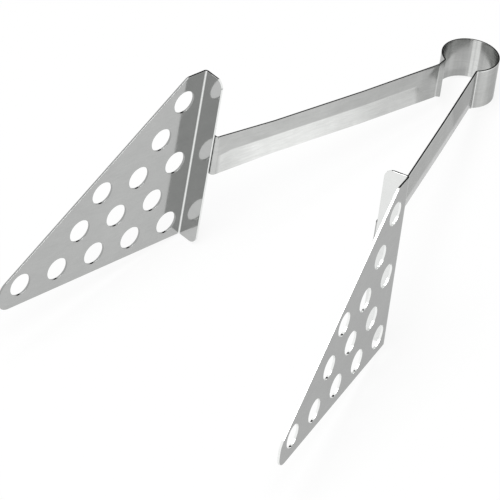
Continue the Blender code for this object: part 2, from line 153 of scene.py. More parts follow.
# Corners this close are one, and edges with a greater bend than these are drawn sharp. A face of
# the unrolled blade belongs to one of its two large sides if its normal is at least this upright.
MERGE_DISTANCE = 0.001 * MM
STRIP_SHARP_ANGLE = math.radians(24)
BLADE_SHARP_ANGLE = math.radians(12)
SHEET_NORMAL_LEAST = 0.9

# How far up in V the islands of the UV maps lie: the inner faces, and the cut edges. The spans
# are those of one island, with room on both sides.
STRIP_INNER_SHIFT = 60.0 * MM
STRIP_CUT_SHIFT = 120.0 * MM
STRIP_SPAN = (-STRIP_WIDTH, STRIP_WIDTH)
BLADE_INNER_SHIFT = 200.0 * MM
BLADE_CUT_SHIFT = 400.0 * MM
BLADE_SPAN = (-BLADE_HEIGHT * 0.5, BLADE_HEIGHT * 1.5)

# Finish of the two steels. A noise is given by its cells per metre along the sheet and across it
# and by its detail, and a tone by how much lighter and darker it makes the colour. The mark and
# cloud tones differ at random; the wave tone is painted reflection of the sheet's waves. Past their
# reach along the sheet there are no waves, and the two depths are those of the relief.
STRIP_LOOK = {
    "colour": (0.443, 0.448, 0.441),
    "grazing_tint": 0.8,
    "roughness": 0.2,
    "roughness_spread": 0.05,
    "fine": (60.0, 7000.0, 3.0),
    "marks": (90.0, 1100.0, 4.0),
    "clouds": (110.0, 160.0, 3.0),
    "waves": (260.0, 14.0, 2.0),
    "mark_tone": 0.05,
    "cloud_tone": 0.05,
    "wave_reflection_tone": 0.06,
    "wave_reach": 40.0 * MM,
    "wave_depth": 0.02 * MM,
    "brush_depth": 0.0003 * MM,
}
BLADE_LOOK = {
    "colour": (0.463, 0.468, 0.463),
    "grazing_tint": 0.8,
    "roughness": 0.1,
    "roughness_spread": 0.025,
    "fine": (60.0, 6000.0, 3.0),
    "marks": (120.0, 700.0, 4.0),
    "clouds": (110.0, 160.0, 3.0),
    "waves": (20.0, 14.0, 2.0),
    "mark_tone": 0.02,
    "cloud_tone": 0.02,
    "wave_reflection_tone": 0.02,
    "wave_reach": 1000.0 * MM,
    "wave_depth": 0.006 * MM,
    "brush_depth": 0.0002 * MM,
}

# All noises share one roughness. The spans are the values of a noise that make the full change: of
# one, of the sum of two, and of the waves about their middle. The waves fade out over a share of
# their reach.
NOISE_ROUGHNESS = 0.6
NOISE_SPAN = (0.3, 0.7)
NOISE_SUM_SPAN = (0.7, 1.3)
WAVE_SPAN = (-0.2, 0.2)
WAVE_FADE_SHARE = 0.2

# The camera in the flat layout: where it aims, how it is turned, and its shift in its own plane.
CAMERA_AIM = Vector((0, -110 * MM, 10 * MM))
CAMERA_TURN = math.radians(32.0746)
CAMERA_TILT = math.radians(35.466)
CAMERA_ROLL = math.radians(8.4162)
CAMERA_DISTANCE = 2500 * MM
CAMERA_SHIFT_RIGHT = -34.7394 * MM
CAMERA_SHIFT_UP = -33.3937 * MM
CAMERA_LENS = 412.139
CAMERA_SENSOR = 36.0
CAMERA_CLIP = (0.1, 20.0)

# The studio: white all round where it is seen, plain light from above, and a dark flag behind.
WHITE = (1, 1, 1, 1)
WORLD_LIGHT = 0.45
FLOOR_WIDTH = 8.0
FLOOR_COLOUR = (0.9, 0.9, 0.9, 1)
FLOOR_WHITE_SHARE = 0.85
LAMP_PLACE = (0.0, -0.1, 1.3)
LAMP_TARGET = (0, 0, 0)
LAMP_WIDTH = 1.0
LAMP_POWER = 14.0
FLAG_DIRECTION = (-0.423, 0.819, 0.39)
FLAG_DISTANCE = 1.5
FLAG_TARGET = Vector((0, 0, 0.03))
FLAG_WIDTH = 1.6
FLAG_HEIGHT = 0.8
FLAG_COLOUR = (0.02, 0.02, 0.02, 1)

SIDES = {"left": -1, "right": 1}


def direction(angle):
    return Vector((math.cos(angle), math.sin(angle)))


def loop_centre(side):
    """The loop's centre, with its sideways shift counted towards one side."""
    return Vector((side * LOOP_SIDE_SHIFT, 0))


def arm_start():
    return Vector((ARM_START_ASIDE, -ARM_START_AHEAD))


def strip_direction(spread):
    """Down a part of the strip that is spread from the middle plane by an angle."""
    return Vector((math.sin(spread), -math.cos(spread)))


def strip_outward(spread):
    return Vector((math.cos(spread), math.sin(spread)))


def arm_direction():
    return strip_direction(ARM_SPREAD)


def arm_outward():
    return strip_outward(ARM_SPREAD)


def neck_spread(side):
    """Spread of the strip next to the neck, where only the left arm has its slight bend."""
    return ARM_SPREAD - LEFT_KINK_ANGLE if side < 0 else ARM_SPREAD


def blade_angle():
    return ARM_SPREAD - BLADE_TOE_IN


def blade_root():
    """Where the arm's line meets the back plane of the flange."""
    return arm_start() + arm_direction() * ARM_LENGTH


def foot_reach():
    """Offset of the foot's end, short of where the fold of the blade begins."""
    return BLADE_OFFSET - BLADE_THICKNESS / 2 - FOLD_INNER_RADIUS - FOOT_INSET


def foot_height():
    """Height of the middle of the foot above the blade's lower edge."""
    return BLADE_DROP + STRIP_WIDTH / 2


def rest_matrix():
    """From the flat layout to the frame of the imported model, by the left jaw's joint."""
    joints = frame["record"]["behaviour"]["joints"]
    joint = next(joint for joint in joints if joint["name"] == "left_jaw_flex")
    axis = Vector(joint["axis"])
    turned = Matrix.Rotation(-math.atan2(axis.y, axis.z), 4, "X")
    ray = direction(math.pi / 2 + CROWN_HALF_ANGLE)
    flat = (loop_centre(1) + ray * LOOP_RADIUS).to_3d() + Vector((0, 0, STRIP_WIDTH / 2))
    return Matrix.Translation(Vector(joint["pos_m"]) - turned @ flat) @ turned


REST = rest_matrix()


class Station:
    """A place along the strip: a point on its middle, and the way the sheet's outside faces there.

    On the crease it also holds the distance to the crease's start and the length of the crease.
    The lift raises the strip's middle, and the rake leans the strip over.
    """

    def __init__(self, point, outward, crease=None, half_width=STRIP_WIDTH / 2):
        self.point = point
        self.outward = outward
        self.crease = crease
        self.half_width = half_width
        self.lift = 0.0
        self.rake = Vector((0, 0))


def arc_stations(centre, radius, start, end, outward_sign, step):
    """Stations round an arc; the sheet's outside faces away from the centre, or to it at -1."""
    steps = max(1, math.ceil(abs(end - start) / step))
    stations = []
    for i in range(steps + 1):
        ray = direction(start + (end - start) * i / steps)
        stations.append(Station(centre + ray * radius, ray * outward_sign))
    return stations


def neck_bend(side):
    """The neck's radius and centre, touching the loop and the strip's line next to it.

    The last value is the run from the bend of the arm, or from its start, to the neck's end.
    """
    radius = NECK_INNER_RADIUS + STRIP_THICKNESS / 2
    spread = neck_spread(side)
    start = arm_start()
    if side < 0:
        start = start + arm_direction() * LEFT_KINK_RUN
    beside = start + strip_outward(spread) * radius - loop_centre(side)
    along = beside.dot(strip_direction(spread))
    reach = LOOP_RADIUS + radius
    run = -along + math.sqrt(along**2 - beside.length_squared + reach**2)
    return radius, loop_centre(side) + beside + strip_direction(spread) * run, run


def kink(side):
    """Stations of the slight bend next to the neck, and where it ends down the arm's line."""
    spread = neck_spread(side)
    radius = KINK_INNER_RADIUS + STRIP_THICKNESS / 2
    tangent = radius * math.tan((ARM_SPREAD - spread) / 2)
    end = LEFT_KINK_RUN + tangent
    centre = arm_start() + arm_direction() * end + arm_outward() * radius
    stations = arc_stations(centre, radius, math.pi + spread, math.pi + ARM_SPREAD, -1, ARC_STEP)
    for station in stations:
        station.half_width = ARM_WIDTH / 2
        station.lift = ARM_LIFT
    return stations, end


def crease_rise(run, crease_length, across_share):
    """Depth of the crease at a run along it and at a share of the half width from its middle."""
    soft = CREASE_SOFTNESS_SHARE
    ridge = math.hypot(1.0, soft) - math.hypot(across_share, soft)
    hip = min(run, crease_length - run) / CREASE_RUN_OUT
    blend = max(0.0, HIP_SOFTNESS_SHARE - abs(ridge - hip))
    return CREASE_DEPTH * max(0.0, min(ridge, hip) - blend**2 / (4 * HIP_SOFTNESS_SHARE))


def arm_half_width(from_neck, to_foot):
    """Half the width of the arm, which flares to the strip's full width at both ends."""
    flare = max(0.0, 1 - from_neck / NECK_FLARE, 1 - to_foot / FOOT_FLARE)
    return (ARM_WIDTH + (STRIP_WIDTH - ARM_WIDTH) * flare) / 2


def arm_lift(from_neck):
    """Height by which the arm's middle lies above that of the loop, all beside the neck."""
    risen = min(1.0, from_neck / NECK_FLARE)
    return ARM_LIFT * risen * max(0.0, 1 - from_neck / ARM_LIFT_RUN)


def loop_stations(side):
    """Stations from the back of the loop to the end of one neck."""
    centre = loop_centre(side)
    neck_radius, neck_centre, _ = neck_bend(side)
    outward = neck_centre - centre
    loop_end = math.atan2(outward.y, outward.x)
    back = math.pi / 2
    seam = SEAM / LOOP_RADIUS
    stations = arc_stations(centre, LOOP_RADIUS, back, back - seam, 1, seam)
    stations += arc_stations(centre, LOOP_RADIUS, back - seam, loop_end, 1, ARC_STEP)[1:]
    neck_start = loop_end + math.pi
    neck_end = math.pi + neck_spread(side)
    stations += arc_stations(neck_centre, neck_radius, neck_start, neck_end, -1, BEND_STEP)[1:]
    return stations


def crease_stations(start, end, from_neck):
    """Stations of the creased arm, between two runs down its line."""
    crease_length = end - start
    count = math.ceil(crease_length / RUN_STEP)
    stations = []
    for i in range(count + 1):
        run = crease_length * i / count
        point = arm_start() + arm_direction() * (start + run)
        half_width = arm_half_width(from_neck + run, crease_length - run)
        station = Station(point, arm_outward(), (run, crease_length), half_width)
        station.lift = arm_lift(from_neck + run)
        stations.append(station)
    return stations


def foot_stations(corner_run, bend_run, bend_radius, turn):
    """Stations of the bend and of the raked foot, with the foot's rounded corners."""
    bend_centre = arm_start() + arm_direction() * bend_run + arm_outward() * bend_radius
    bend_angle = math.pi + ARM_SPREAD
    bend = arc_stations(bend_centre, bend_radius, bend_angle, bend_angle + turn, -1, BEND_STEP)
    foot_direction = direction(blade_angle())
    foot_outward = Vector((-foot_direction.y, foot_direction.x))
    rake = foot_outward * math.tan(BLADE_RAKE)
    for i, station in enumerate(bend):
        station.rake = rake * (i / (len(bend) - 1))
    corner = arm_start() + arm_direction() * corner_run
    foot = []
    for i in range(CORNER_STEPS + 1):
        angle = math.pi / 2 * i / CORNER_STEPS
        reach = foot_reach() - FOOT_CORNER_RADIUS * (1 - math.sin(angle))
        half_width = STRIP_WIDTH / 2 - FOOT_CORNER_RADIUS * (1 - math.cos(angle))
        station = Station(corner + foot_direction * reach, foot_outward, None, half_width)
        station.rake = rake
        foot.append(station)
    return bend + foot


def half_strip_stations(side):
    """Stations from the back of the loop round one neck and down the arm to the end of its foot."""
    stations = loop_stations(side)
    _, _, plain_end = neck_bend(side)
    from_neck = CREASE_MARGIN
    if side < 0:
        kink_stations, plain_end = kink(side)
        stations += kink_stations
        from_neck = NECK_FLARE
    turn = math.pi / 2 - BLADE_TOE_IN
    bend_radius = FOOT_BEND_INNER_RADIUS + STRIP_THICKNESS / 2
    corner_run = ARM_LENGTH - (STRIP_THICKNESS / 2 + FOOT_GAP) / math.cos(BLADE_TOE_IN)
    bend_run = corner_run - bend_radius * math.tan(turn / 2)
    stations += crease_stations(plain_end + CREASE_MARGIN, bend_run - CREASE_MARGIN, from_neck)
    return stations + foot_stations(corner_run, bend_run, bend_radius, turn)


def strip_section(half_width):
    """Closed section of the strip: pairs of a place across it and one through its thickness."""
    half = STRIP_THICKNESS / 2
    flat = half_width - EDGE_RADIUS
    upper = [(share * flat, half) for share in reversed(COLUMNS)]
    lower = [(-share * flat, half) for share in COLUMNS[1:]]
    face = [(-x, y) for x, y in upper + lower]
    edge = []
    for i in range(1, EDGE_STEPS + 1):
        angle = math.pi / 2 * i / EDGE_STEPS
        x = flat + EDGE_RADIUS * math.sin(angle)
        edge.append((x, half - EDGE_RADIUS * (1 - math.cos(angle))))
    edge += [(x, -y) for x, y in reversed(edge)]
    outer = face + edge
    return outer + [(-x, -y) for x, y in outer]


def strip_ring(bm, station, side):
    """Corners of the section at a station, each with its place across and through the sheet."""
    ring = []
    for across, through in strip_section(station.half_width):
        place = station.point + station.outward * through + station.rake * across
        if station.crease:
            rise = crease_rise(*station.crease, across / station.half_width)
            place = place + station.outward * rise
        flat = Vector((side * place.x, place.y, STRIP_WIDTH / 2 + station.lift + across))
        ring.append((bm.verts.new(REST @ flat), across, through))
    return ring


def strip_shift(through, next_through):
    """How far up in V a face lies whose corners are at these places through the sheet.

    On the two large sides, both corners are half the thickness from the middle.
    """
    if abs(through + next_through) < STRIP_THICKNESS - SEAM:
        return STRIP_CUT_SHIFT
    return STRIP_INNER_SHIFT if through < 0 else 0.0


def half_strip(label, side):
    """The strip of one side, and where along it the crease starts and ends.

    Its UV map is the unrolled strip, with U along it from the back of the loop and V across it,
    for the outer face, and further up in V for the face towards the other jaw and for the cut
    edges.
    """
    stations = half_strip_stations(side)
    bm = bmesh.new()
    uv = bm.loops.layers.uv.new("UVMap")
    rings = []
    runs = []
    run = 0.0
    previous = stations[0].point
    for station in stations:
        run += (station.point - previous).length
        previous = station.point
        rings.append(strip_ring(bm, station, side))
        runs.append(run)
    for ring, next_ring, u, next_u in zip(rings, rings[1:], runs, runs[1:]):
        for i in range(len(ring)):
            j = (i + 1) % len(ring)
            corners = [(ring[i], u), (ring[j], u), (next_ring[j], next_u), (next_ring[i], next_u)]
            face = bm.faces.new([knot[0] for knot, _ in corners])
            shift = strip_shift(ring[i][2], ring[j][2])
            for loop, (knot, along) in zip(face.loops, corners):
                loop[uv].uv = (along, knot[1] + shift)
    for ring, run in ((rings[0], runs[0]), (rings[-1], runs[-1])):
        cap = bm.faces.new([knot[0] for knot in ring])
        for loop, knot in zip(cap.loops, ring):
            loop[uv].uv = (run, knot[1])
    creased = [along for along, station in zip(runs, stations) if station.crease]
    return finish_piece(f"{label}_strip", bm, STRIP_SHARP_ANGLE), creased[0], creased[-1]


def new_object(name, data):
    holder = bpy.data.objects.new(name, data)
    bpy.context.scene.collection.objects.link(holder)
    return holder


def finish_piece(name, bm, sharp_angle):
    """Smooth-shaded piece from a closed mesh, with its faces outwards."""
    bmesh.ops.recalc_face_normals(bm, faces=bm.faces)
    if bm.calc_volume(signed=True) < 0:
        bmesh.ops.reverse_faces(bm, faces=bm.faces)
    mesh = bpy.data.meshes.new(name)
    bm.to_mesh(mesh)
    bm.free()
    mesh.shade_smooth()
    mesh.set_sharp_from_angle(angle=sharp_angle)
    return new_object(name, mesh)


def rounded_outline(corners):
    """Points of a closed outline from (point, radius) corners, each rounded by an arc.

    A radius is limited by the shorter of the two sides that meet at its corner.
    """
    points = []
    for i, (corner, radius) in enumerate(corners):
        if radius == 0:
            points.append(corner)
            continue
        back = corners[i - 1][0] - corner
        ahead = corners[(i + 1) % len(corners)][0] - corner
        half_angle = back.angle(ahead) / 2
        room = CORNER_LIMIT_SHARE * min(back.length, ahead.length)
        setback = min(radius / math.tan(half_angle), room)
        middle = (back.normalized() + ahead.normalized()).normalized()
        centre = corner + middle * (setback / math.cos(half_angle))
        start = corner + back.normalized() * setback - centre
        end = corner + ahead.normalized() * setback - centre
        sweep = start.angle_signed(end)
        for step in range(CORNER_STEPS + 1):
            turned = start.copy()
            turned.rotate(Matrix.Rotation(-sweep * step / CORNER_STEPS, 2))
            points.append(centre + turned)
    return points


def in_line(place):
    """A place on the blade turned about the foot, so that lengths lie in line with the arm."""
    turned = place - Vector((0, foot_height()))
    turned.rotate(Matrix.Rotation(-BLADE_RAKE, 2))
    return turned + Vector((0, foot_height()))


def edge_corner(start, end, length):
    """Where a straight edge of the blade, given in line with the arm, passes a length."""
    first = in_line(start)
    last = in_line(end)
    share = (length - first.x) / (last.x - first.x)
    return Vector((length, first.y + (last.y - first.y) * share))


def has_margin(place):
    """Whether a hole here keeps its margin to the lower edge, the sloping edge and the tip."""
    foot_of_slope = Vector((BLADE_LENGTH, BLADE_TIP_HEIGHT))
    slope = (Vector((BLADE_TOP_LENGTH, BLADE_HEIGHT)) - foot_of_slope).normalized()
    to_slope = slope.cross(place - foot_of_slope)
    nearest = min(place.y, BLADE_LENGTH - place.x, BLADE_HEIGHT - place.y, to_slope)
    return nearest >= HOLE_DIAMETER / 2 + HOLE_MARGIN


def hole_places():
    """Length and height of each hole's centre."""
    rows = int(BLADE_HEIGHT / HOLE_ROW_HEIGHT) + 1
    columns = int(BLADE_LENGTH / HOLE_PITCH) + 1
    places = []
    for row in range(rows):
        first = HOLE_FIRST_LENGTH + HOLE_PITCH / 2 * (row % 2)
        height = HOLE_FIRST_HEIGHT + HOLE_ROW_HEIGHT * row
        places += [Vector((first + HOLE_PITCH * column, height)) for column in range(columns)]
    return [in_line(place) for place in places if has_margin(place)]


def folded(unrolled, through):
    """Length and offset in the folded blade of a place on the unrolled sheet."""
    if unrolled <= FOLD_START:
        return BLADE_THICKNESS / 2 - through, unrolled
    if unrolled >= FOLD_END:
        return unrolled - UNFOLD_SHIFT, BLADE_OFFSET + through
    angle = (unrolled - FOLD_START) / FOLD_RADIUS
    radius = FOLD_RADIUS + through
    length = BLADE_THICKNESS / 2 + FOLD_RADIUS - radius * math.cos(angle)
    return length, FOLD_START + radius * math.sin(angle)


def sheet_corners():
    """Corners of the unrolled blade with its flange, each with its radius."""
    tip_foot = Vector((BLADE_LENGTH, -BLADE_EDGE_FALL))
    tip_top = Vector((BLADE_LENGTH, BLADE_TIP_HEIGHT))
    top = Vector((BLADE_TOP_LENGTH, BLADE_HEIGHT))
    lower_edge = (Vector((0, BLADE_EDGE_FALL)), tip_foot)
    upper_edge = (Vector((0, BLADE_HEIGHT)), top)
    shift = Vector((UNFOLD_SHIFT, 0))
    plate = FOLD_END - UNFOLD_SHIFT
    low = edge_corner(*lower_edge, BLADE_THICKNESS / 2).y
    high = edge_corner(*upper_edge, BLADE_THICKNESS / 2).y
    return [
        (Vector((FLANGE_EDGE_OFFSET, low)), FLANGE_CORNER_RADIUS),
        (Vector((FOLD_START, low)), 0),
        (edge_corner(*lower_edge, plate) + shift, 0),
        (in_line(tip_foot) + shift, BLADE_TIP_RADIUS),
        (in_line(tip_top) + shift, BLADE_TIP_RADIUS),
        (in_line(top) + shift, BLADE_TOP_CORNER_RADIUS),
        (edge_corner(*upper_edge, plate) + shift, 0),
        (Vector((FOLD_START, high)), 0),
        (Vector((FLANGE_EDGE_OFFSET, high)), FLANGE_CORNER_RADIUS),
    ]


def unrolled_sheet(name):
    """The blade with its flange as one flat sheet, with its holes and with rounded edges."""
    outlines = [rounded_outline(sheet_corners())]
    for hole in hole_places():
        centre = Vector((hole.x + UNFOLD_SHIFT, hole.y))
        turns = [2 * math.pi * i / HOLE_SIDES for i in range(HOLE_SIDES)]
        outlines.append([centre + direction(-turn) * (HOLE_DIAMETER / 2) for turn in turns])
    curve = bpy.data.curves.new(name, "CURVE")
    curve.dimensions = "2D"
    curve.fill_mode = "BOTH"
    curve.extrude = BLADE_THICKNESS / 2 - EDGE_RADIUS
    curve.bevel_depth = EDGE_RADIUS
    curve.bevel_resolution = EDGE_STEPS - 1
    curve.offset = -EDGE_RADIUS
    for outline in outlines:
        spline = curve.splines.new("POLY")
        spline.points.add(len(outline) - 1)
        for knot, point in zip(spline.points, outline):
            knot.co = (point.x, point.y, 0, 1)
        spline.use_cyclic_u = True
    flat = new_object(name, curve)
    bpy.context.view_layer.update()
    evaluated = flat.evaluated_get(bpy.context.evaluated_depsgraph_get())
    mesh = bpy.data.meshes.new_from_object(evaluated)
    bpy.data.objects.remove(flat, do_unlink=True)
    bm = bmesh.new()
    bm.from_mesh(mesh)
    bpy.data.meshes.remove(mesh)
    bmesh.ops.remove_doubles(bm, verts=bm.verts, dist=MERGE_DISTANCE)
    return bm


def blade_matrix(side):
    """The blade's own frame: X along it, Y across it and Z up from its lower edge."""
    root = blade_root()
    turn = side * blade_angle() - math.pi / 2
    foot = Matrix.Translation((side * root.x, root.y, STRIP_WIDTH / 2))
    leaning = Matrix.Rotation(turn, 4, "Z") @ Matrix.Rotation(side * BLADE_LEAN, 4, "X")
    raked = leaning @ Matrix.Rotation(-BLADE_RAKE, 4, "Y")
    return REST @ foot @ raked @ Matrix.Translation((0, 0, -foot_height()))


def sheet_shift(normal):
    """How far up in V a face of the unrolled blade lies, by its normal."""
    if abs(normal.z) < SHEET_NORMAL_LEAST:
        return BLADE_CUT_SHIFT
    return 0.0 if normal.z > 0 else BLADE_INNER_SHIFT


def blade(label, side):
    """The folded blade.

    Its UV map is the unrolled sheet, for the outer face, and further up in V for the face inside
    the fold and for the cut edges.
    """
    bm = unrolled_sheet(f"{label}_blade_sheet")
    cuts = [FOLD_START + (FOLD_END - FOLD_START) * i / FOLD_STEPS for i in range(FOLD_STEPS + 1)]
    for place in cuts + [FOLD_START - FOLD_MARGIN, FOLD_END + FOLD_MARGIN]:
        geometry = list(bm.verts) + list(bm.edges) + list(bm.faces)
        bmesh.ops.bisect_plane(bm, geom=geometry, plane_co=(place, 0, 0), plane_no=(1, 0, 0))
    bmesh.ops.remove_doubles(bm, verts=bm.verts, dist=MERGE_DISTANCE)
    uv = bm.loops.layers.uv.verify()
    bm.normal_update()
    for face in bm.faces:
        shift = sheet_shift(face.normal)
        for loop in face.loops:
            loop[uv].uv = (loop.vert.co.x, loop.vert.co.y + shift)
    matrix = blade_matrix(side)
    for vert in bm.verts:
        length, offset = folded(vert.co.x, vert.co.z)
        vert.co = matrix @ Vector((length, side * offset, vert.co.y))
    return finish_piece(f"{label}_blade_plate", bm, BLADE_SHARP_ANGLE)


def new_material(name):
    """A new material, its node tree and its shader."""
    material = bpy.data.materials.new(name)
    material.use_nodes = True
    return material, material.node_tree, material.node_tree.nodes["Principled BSDF"]


def link(tree, source, output, target, name):
    tree.links.new(source.outputs[output], target.inputs[name])


def uv_coords(tree):
    coords = tree.nodes.new("ShaderNodeUVMap")
    coords.uv_map = "UVMap"
    return coords


def stretched_noise(tree, along, across, detail):
    """Noise on the unrolled sheet, in cells per metre along it and across it."""
    stretch = tree.nodes.new("ShaderNodeMapping")
    stretch.inputs["Scale"].default_value = (along, across, 1.0)
    link(tree, uv_coords(tree), "UV", stretch, "Vector")
    noise = tree.nodes.new("ShaderNodeTexNoise")
    noise.noise_dimensions = "2D"
    noise.inputs["Scale"].default_value = 1.0
    noise.inputs["Detail"].default_value = detail
    noise.inputs["Roughness"].default_value = NOISE_ROUGHNESS
    link(tree, stretch, "Vector", noise, "Vector")
    return noise


def map_range(tree, source, output, low, high, to_low, to_high, kind="LINEAR"):
    node = tree.nodes.new("ShaderNodeMapRange")
    node.interpolation_type = kind
    node.inputs["From Min"].default_value = low
    node.inputs["From Max"].default_value = high
    node.inputs["To Min"].default_value = to_low
    node.inputs["To Max"].default_value = to_high
    link(tree, source, output, node, "Value")
    return node


def smooth_step(tree, source, output, edge, width):
    """From 0 at an edge to 1 at its width away, which may be negative."""
    return map_range(tree, source, output, edge, edge + width, 0.0, 1.0, "SMOOTHSTEP")


def combine(tree, operation, first, second):
    """Math node on two inputs, each a pair of a node and its output."""
    node = tree.nodes.new("ShaderNodeMath")
    node.operation = operation
    link(tree, *first, node, 0)
    link(tree, *second, node, 1)
    return node


def toned(tree, tone, source, output, span, amount):
    """A tone made lighter and darker by an amount, as a noise goes through a span."""
    change = map_range(tree, source, output, *span, 1 - amount, 1 + amount)
    return combine(tree, "MULTIPLY", (tone, 0), (change, 0))


def add_painted_reflection(tree, tone, split, limits, gain):
    """A tone made lighter or darker by a gain, between limits on the unrolled sheet: a painted
    reflection.
    """
    inside, *others = [smooth_step(tree, split, *limit) for limit in limits]
    for other in others:
        inside = combine(tree, "MULTIPLY", (inside, 0), (other, 0))
    change = map_range(tree, inside, 0, 0.0, 1.0, 1.0, gain)
    return combine(tree, "MULTIPLY", (tone, 0), (change, 0))


def bump(tree, height, output, depth):
    node = tree.nodes.new("ShaderNodeBump")
    node.inputs["Strength"].default_value = 1.0
    node.inputs["Distance"].default_value = depth
    link(tree, height, output, node, "Height")
    return node


def satin_steel(name, look, painted_reflections):
    """Satin steel: lengthwise brush marks, slow changes of tone, and slight waves of the sheet
    whose tone is painted reflection.

    The bands make it lighter or darker in fixed places on the sheet. They stand in for what the
    steel mirrors in the photograph, because that studio isn't known.
    """
    material, tree, shader = new_material(name)
    tint = look["grazing_tint"]
    shader.inputs["Metallic"].default_value = 1.0
    shader.inputs["Specular Tint"].default_value = (tint, tint, tint, 1.0)

    fine, marks, clouds, waves = [
        stretched_noise(tree, *look[kind]) for kind in ("fine", "marks", "clouds", "waves")
    ]
    split = tree.nodes.new("ShaderNodeSeparateXYZ")
    link(tree, uv_coords(tree), "UV", split, "Vector")
    reach = look["wave_reach"]
    calm = smooth_step(tree, split, "X", reach, -reach * WAVE_FADE_SHARE)
    level = map_range(tree, waves, "Fac", 0.0, 1.0, -0.5, 0.5)
    waves = combine(tree, "MULTIPLY", (level, 0), (calm, 0))

    mark = look["mark_tone"]
    tone = map_range(tree, marks, "Fac", *NOISE_SPAN, 1 - mark, 1 + mark)
    tone = toned(tree, tone, clouds, "Fac", NOISE_SPAN, look["cloud_tone"])
    tone = toned(tree, tone, fine, "Fac", NOISE_SPAN, mark / 2)
    # Painted reflection: the colour goes lighter and darker with the sheet's waves.
    tone = toned(tree, tone, waves, 0, WAVE_SPAN, look["wave_reflection_tone"])
    # Bands of painted reflection, lighter and darker in fixed places on the sheet.
    for limits, gain in painted_reflections:
        tone = add_painted_reflection(tree, tone, split, limits, gain)
    colour = tree.nodes.new("ShaderNodeVectorMath")
    colour.operation = "SCALE"
    colour.inputs[0].default_value = look["colour"]
    link(tree, tone, 0, colour, "Scale")
    link(tree, colour, "Vector", shader, "Base Color")

    middle, spread = look["roughness"], look["roughness_spread"]
    uneven = combine(tree, "ADD", (marks, "Fac"), (clouds, "Fac"))
    gloss = map_range(tree, uneven, 0, *NOISE_SUM_SPAN, middle - spread, middle + spread)
    link(tree, gloss, 0, shader, "Roughness")

    wavy = bump(tree, waves, 0, look["wave_depth"])
    brushed = bump(tree, fine, "Fac", look["brush_depth"])
    link(tree, wavy, "Normal", brushed, "Normal")
    link(tree, brushed, "Normal", shader, "Normal")
    return material


def painted_reflection_band(start, end, span, fade, gain, side_fade=MM):
    """Limits of a band of painted reflection between two runs along the sheet and across a span of
    V, and its gain.

    Each limit is an axis of the UV map, an edge on it and the width of the fade from there.
    """
    low, high = span
    limits = [("X", start, fade), ("X", end, -fade), ("Y", low, side_fade), ("Y", high, -side_fade)]
    return limits, gain


def island(shift, span):
    """Span in V of an island of the UV map that lies further up."""
    return shift + span[0], shift + span[1]


def strip_painted_reflections(label, start, end):
    """Painted reflections on the strip, lighter or darker, by its runs from the back of the loop.

    The crease goes from start to end.
    """
    inner = island(STRIP_INNER_SHIFT, STRIP_SPAN)
    inner_bottom = (inner[0], STRIP_INNER_SHIFT - 4 * MM)
    inner_low = (inner[0], STRIP_INNER_SHIFT)
    outer = STRIP_SPAN
    outer_low = (outer[0], 0.0)
    outer_top = (STRIP_WIDTH / 2 - 0.8 * MM, outer[1])
    arm_top = (ARM_WIDTH / 2 - 0.8 * MM, outer[1])
    # A dark painted reflection on the cut edges of the strip.
    cut_edge_reflection = painted_reflection_band(-STRIP_WIDTH, end * 2, island(STRIP_CUT_SHIFT, STRIP_SPAN), MM, 0.5)
    if label == "left":
        return [
            cut_edge_reflection,
            # A painted highlight along the line of the slight bend beside the neck.
            painted_reflection_band(start - 2.0 * MM, start - 0.8 * MM, inner, 0.4 * MM, 1.35),
            # Painted reflections inside the loop, a bright double one first, and its darker lower
            # part.
            painted_reflection_band(2.2 * MM, 6.8 * MM, inner, 0.6 * MM, 1.5),
            painted_reflection_band(4.2 * MM, 5.4 * MM, inner, 0.5 * MM, 0.88),
            painted_reflection_band(7.2 * MM, 13.0 * MM, inner, 1.2 * MM, 0.94),
            painted_reflection_band(14.0 * MM, 17.5 * MM, inner, 1.2 * MM, 1.07),
            painted_reflection_band(19.0 * MM, 34.0 * MM, inner, 4 * MM, 1.05),
            painted_reflection_band(7.2 * MM, 36.0 * MM, inner_bottom, MM, 0.86, 4 * MM),
            # Painted reflections on the inside of the arm, darker beside the neck and lighter
            # towards the foot.
            painted_reflection_band(start + 0.5 * MM, start + 8.5 * MM, inner, 2.5 * MM, 0.93),
            painted_reflection_band(start + 36 * MM, end + 60 * MM, inner, 40 * MM, 1.18),
            # A lighter painted reflection on the lower facet of the crease.
            painted_reflection_band(start + 8 * MM, end + MM, inner_low, 3 * MM, 1.34, 0.8 * MM),
            painted_reflection_band(start + 26 * MM, end - 4 * MM, inner_low, 20 * MM, 1.19, 0.8 * MM),
            # A painted highlight on the bend at the foot.
            painted_reflection_band(end + 0.6 * MM, end + 2.8 * MM, inner, 0.5 * MM, 1.12),
        ]
    return [
        cut_edge_reflection,
        # Painted reflections inside the loop.
        painted_reflection_band(-MM, 7.0 * MM, inner, MM, 1.1),
        painted_reflection_band(8.0 * MM, 20.0 * MM, inner, 2 * MM, 1.1),
        # Painted reflections outside the loop, and a painted highlight along the line of the neck.
        painted_reflection_band(13.0 * MM, 22.5 * MM, outer, 2 * MM, 0.84),
        painted_reflection_band(23.0 * MM, 28.5 * MM, outer, 2 * MM, 1.15),
        painted_reflection_band(29.5 * MM, start - 2.8 * MM, outer, 1.2 * MM, 0.8),
        painted_reflection_band(start - 2.5 * MM, start - 1.5 * MM, outer, 0.3 * MM, 1.6),
        # Painted reflections on the outside of the arm, darker beside the neck.
        painted_reflection_band(start + 12 * MM, end + 20 * MM, outer, 20 * MM, 0.92),
        painted_reflection_band(start - 1.5 * MM, start + 34.0 * MM, outer, 4 * MM, 0.8),
        # A lighter painted reflection on the lower facet of the crease.
        painted_reflection_band(start + 3.5 * MM, end, outer_low, 3 * MM, 1.1, 0.8 * MM),
        painted_reflection_band(start + 3.5 * MM, start + 8 * MM, outer_low, 1.5 * MM, 1.15, 0.8 * MM),
        # A painted highlight below the upper edge, on the loop and on the arm.
        painted_reflection_band(-MM, start - 3 * MM, outer_top, MM, 1.4, 0.3 * MM),
        painted_reflection_band(start + 2 * MM, end, arm_top, 2 * MM, 1.3, 0.3 * MM),
    ]


